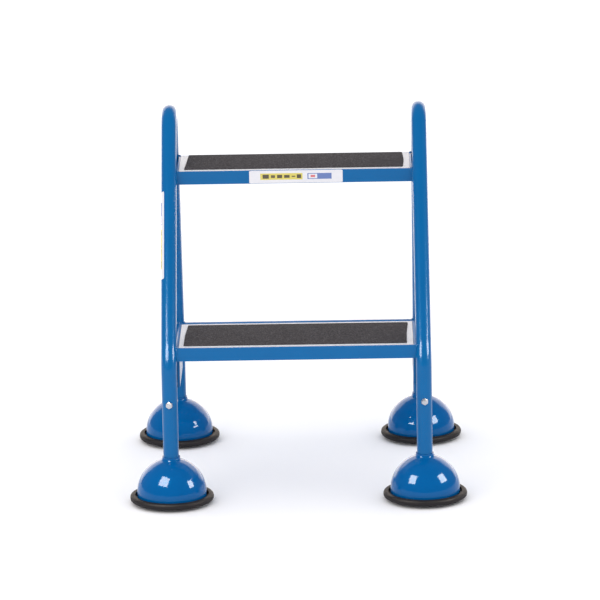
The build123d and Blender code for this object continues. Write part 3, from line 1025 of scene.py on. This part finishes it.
def makeLabel(name, nodeName, length, width, pointAt):
    # pointAt(along, across, out) places the sheet, in millimetres from its middle
    halfLength, halfWidth, corner = length / 2, width / 2, vinylLabel["corner"]
    shape = bmesh.new()
    layer = shape.loops.layers.uv.new("labelMap")
    grid = {}
    where = {}
    for side, out in enumerate((vinylLabel["thickness"], vinylLabel["clearance"])):
        for column in range(vinylLabel["columns"] + 1):
            along = halfLength * (2 * column / vinylLabel["columns"] - 1)
            inset = max(0.0, abs(along) - (halfLength - corner))
            reach = halfWidth - corner + math.sqrt(max(0.0, corner ** 2 - inset ** 2))
            for row in range(vinylLabel["rows"] + 1):
                across = reach * (2 * row / vinylLabel["rows"] - 1)
                vert = shape.verts.new(pointAt(along, across, out))
                grid[side, column, row] = vert
                where[vert] = (along, across)
    lastColumn, lastRow = vinylLabel["columns"], vinylLabel["rows"]
    faces = []
    for side in (0, 1):
        for column in range(lastColumn):
            for row in range(lastRow):
                faces.append([grid[side, column + a, row + b] for a, b in ((0, 0), (1, 0), (1, 1), (0, 1))])
    for column in range(lastColumn):
        for row in (0, lastRow):
            faces.append([grid[s, column + a, row] for s, a in ((0, 0), (0, 1), (1, 1), (1, 0))])
    for row in range(lastRow):
        for column in (0, lastColumn):
            faces.append([grid[s, column, row + a] for s, a in ((0, 0), (0, 1), (1, 1), (1, 0))])
    for corners in faces:
        face = shape.faces.new(corners)
        for loop in face.loops:
            loop[layer].uv = where[loop.vert]
    piece = newPiece(name, meshFromShape(name, shape), "label_film", smoothAngle=30)
    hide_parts(nodeName)


def makeLabels():
    low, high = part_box("rail_label")
    middle = (low + high) / 2
    length, width = (high.x - low.x) / mm, (high.z - low.z) / mm

    def onRail(along, across, out):
        return (middle.x + along * mm, high.y - out * mm, middle.z + across * mm)

    makeLabel("rail_vinyl", "rail_label", length, width, onRail)
    lean = math.radians(hoop["frontLean"])
    direction = Vector((0, math.sin(lean), math.cos(lean)))
    middleZ = lowerHigh.z + vinylLabel["legRise"] * mm
    centre = Vector((-legX, legY(middleZ, True), middleZ))

    def onLeg(along, across, out):
        # along the leg's axis, and round the outer side of the tube
        angle = across * mm / tubeRadius + math.radians(vinylLabel["legTurn"])
        outward = Vector((-math.cos(angle), 0, 0)) + direction.cross(Vector((-1, 0, 0))) * math.sin(angle)
        return centre + direction * (along * mm) + outward * (tubeRadius + out * mm)

    makeLabel("leg_vinyl", "leg_label", length, width, onLeg)


makeLabels()
print("labels stuck")


# Pale studio: a matt white floor under an even sky that gloss sees dimmed, and softboxes that only gloss sees
studio = {
    "floor": "#F9F9FA",
    "floorCloud": "#F6F6F8",
    "cloudSize": 330,       # mm
    "sky": "#FCFCFE",
    "skyStrength": 1.24,
    "skyInReflections": 0.2,
    "reach": 40,            # metres to the floor's edge
    # name, place, where it faces, width and height in metres, watts
    "windows": [            # seen in gloss only
        ("windowLeft", (-0.56, -0.76, 0.74), (0, 0, 0.25), 0.50, 0.55, 27),
        ("windowRight", (1.14, -0.49, 0.67), (0, 0, 0.25), 0.50, 0.50, 24),
        ("brightSweep", (0, 3.2, 1.4), (0, 0, 1.0), 7.0, 2.8, 150),
        ("brightGround", (0, 2.6, 0.002), (0, 2.6, 1.0), 6.0, 3.6, 130),
    ],
    "windowColour": "#FFF1E4",
    "fills": [              # light surfaces, unseen in gloss
        ("fillLeft", (-1.6, -2.2, 1.7), (0, 0, 0.25), 1.2, 1.2, 12),
    ],
}


def addLamp(name, spot, target, width, height, watts, isMirrored):
    # a mirrored lamp is seen in gloss only, the others light surfaces only
    light = bpy.data.lights.new(name, "AREA")
    light.shape = "RECTANGLE"
    light.size, light.size_y = width, height
    light.energy = watts
    light.color = linear(studio["windowColour"])[:3]
    lamp = bpy.data.objects.new(name, light)
    bpy.context.scene.collection.objects.link(lamp)
    lamp.location = spot
    lamp.rotation_euler = (Vector(target) - Vector(spot)).to_track_quat("-Z", "Y").to_euler()
    lamp.visible_diffuse, lamp.visible_glossy = not isMirrored, isMirrored


def makeStudio():
    material, tree, place = startMaterial("paintedFloor")
    cloud = addNode(
        tree, "ShaderNodeTexNoise", {"Vector": place, "Scale": perSize(studio["cloudSize"]), "Detail": 2}
    )
    shade = addNode(
        tree, "ShaderNodeMix",
        {0: cloud.outputs["Fac"], 6: linear(studio["floor"]), 7: linear(studio["floorCloud"])},
        data_type="RGBA",
    )
    finishMaterial(tree, {"Base Color": shade.outputs[2], "Roughness": 0.9, "Specular IOR Level": 0.0})
    reach = studio["reach"]
    level = cadBox[0][2]
    corners = [(-reach, -reach, level), (reach, -reach, level), (reach, reach, level), (-reach, reach, level)]
    floorMesh = meshFrom("floor", corners, faces=[(0, 1, 2, 3)])
    floorMesh.materials.append(material)
    floor = bpy.data.objects.new("floor", floorMesh)
    bpy.context.scene.collection.objects.link(floor)
    world = bpy.data.worlds.new("sky")
    world.use_nodes = True
    tree = world.node_tree
    tree.nodes.clear()
    mirrored = addNode(tree, "ShaderNodeLightPath").outputs["Is Glossy Ray"]
    strength = addNode(
        tree, "ShaderNodeMapRange",
        {0: mirrored, 1: 0.0, 2: 1.0, 3: studio["skyStrength"], 4: studio["skyInReflections"]},
    )
    sky = addNode(
        tree, "ShaderNodeBackground", {"Color": linear(studio["sky"]), "Strength": strength.outputs[0]}
    )
    addNode(tree, "ShaderNodeOutputWorld", {"Surface": sky.outputs[0]})
    bpy.context.scene.world = world
    for window in studio["windows"]:
        addLamp(*window, True)
    for fill in studio["fills"]:
        addLamp(*fill, False)
    bpy.context.scene.view_settings.view_transform = "Standard"


# A long lens, a little above the step and turned down to it
viewpoint = {
    "place": (0.09098, -7.47247, 2.11979),
    "yaw": -0.011416,       # radians, to the right
    "pitch": 0.240035,      # down
    "roll": -0.017938,
    "lens": 277.28,
    "sensor": 36.0,
    "farthest": 200,        # metres that the camera sees
}


def makeCamera():
    yaw, pitch, roll = viewpoint["yaw"], viewpoint["pitch"], viewpoint["roll"]
    ahead = Vector((math.sin(yaw) * math.cos(pitch), math.cos(yaw) * math.cos(pitch), -math.sin(pitch)))
    level = Vector((math.cos(yaw), -math.sin(yaw), 0))
    upright = level.cross(ahead)
    right = level * math.cos(roll) + upright * math.sin(roll)
    up = upright * math.cos(roll) - level * math.sin(roll)
    camera = bpy.data.cameras.new("camera")
    camera.lens, camera.sensor_width = viewpoint["lens"], viewpoint["sensor"]
    camera.clip_end = viewpoint["farthest"]
    holder = bpy.data.objects.new("camera", camera)
    bpy.context.scene.collection.objects.link(holder)
    axes = Matrix((right, up, -ahead)).transposed().to_4x4()
    holder.matrix_world = Matrix.Translation(viewpoint["place"]) @ axes
    bpy.context.scene.camera = holder


makeStudio()
makeCamera()
print("studio lit")
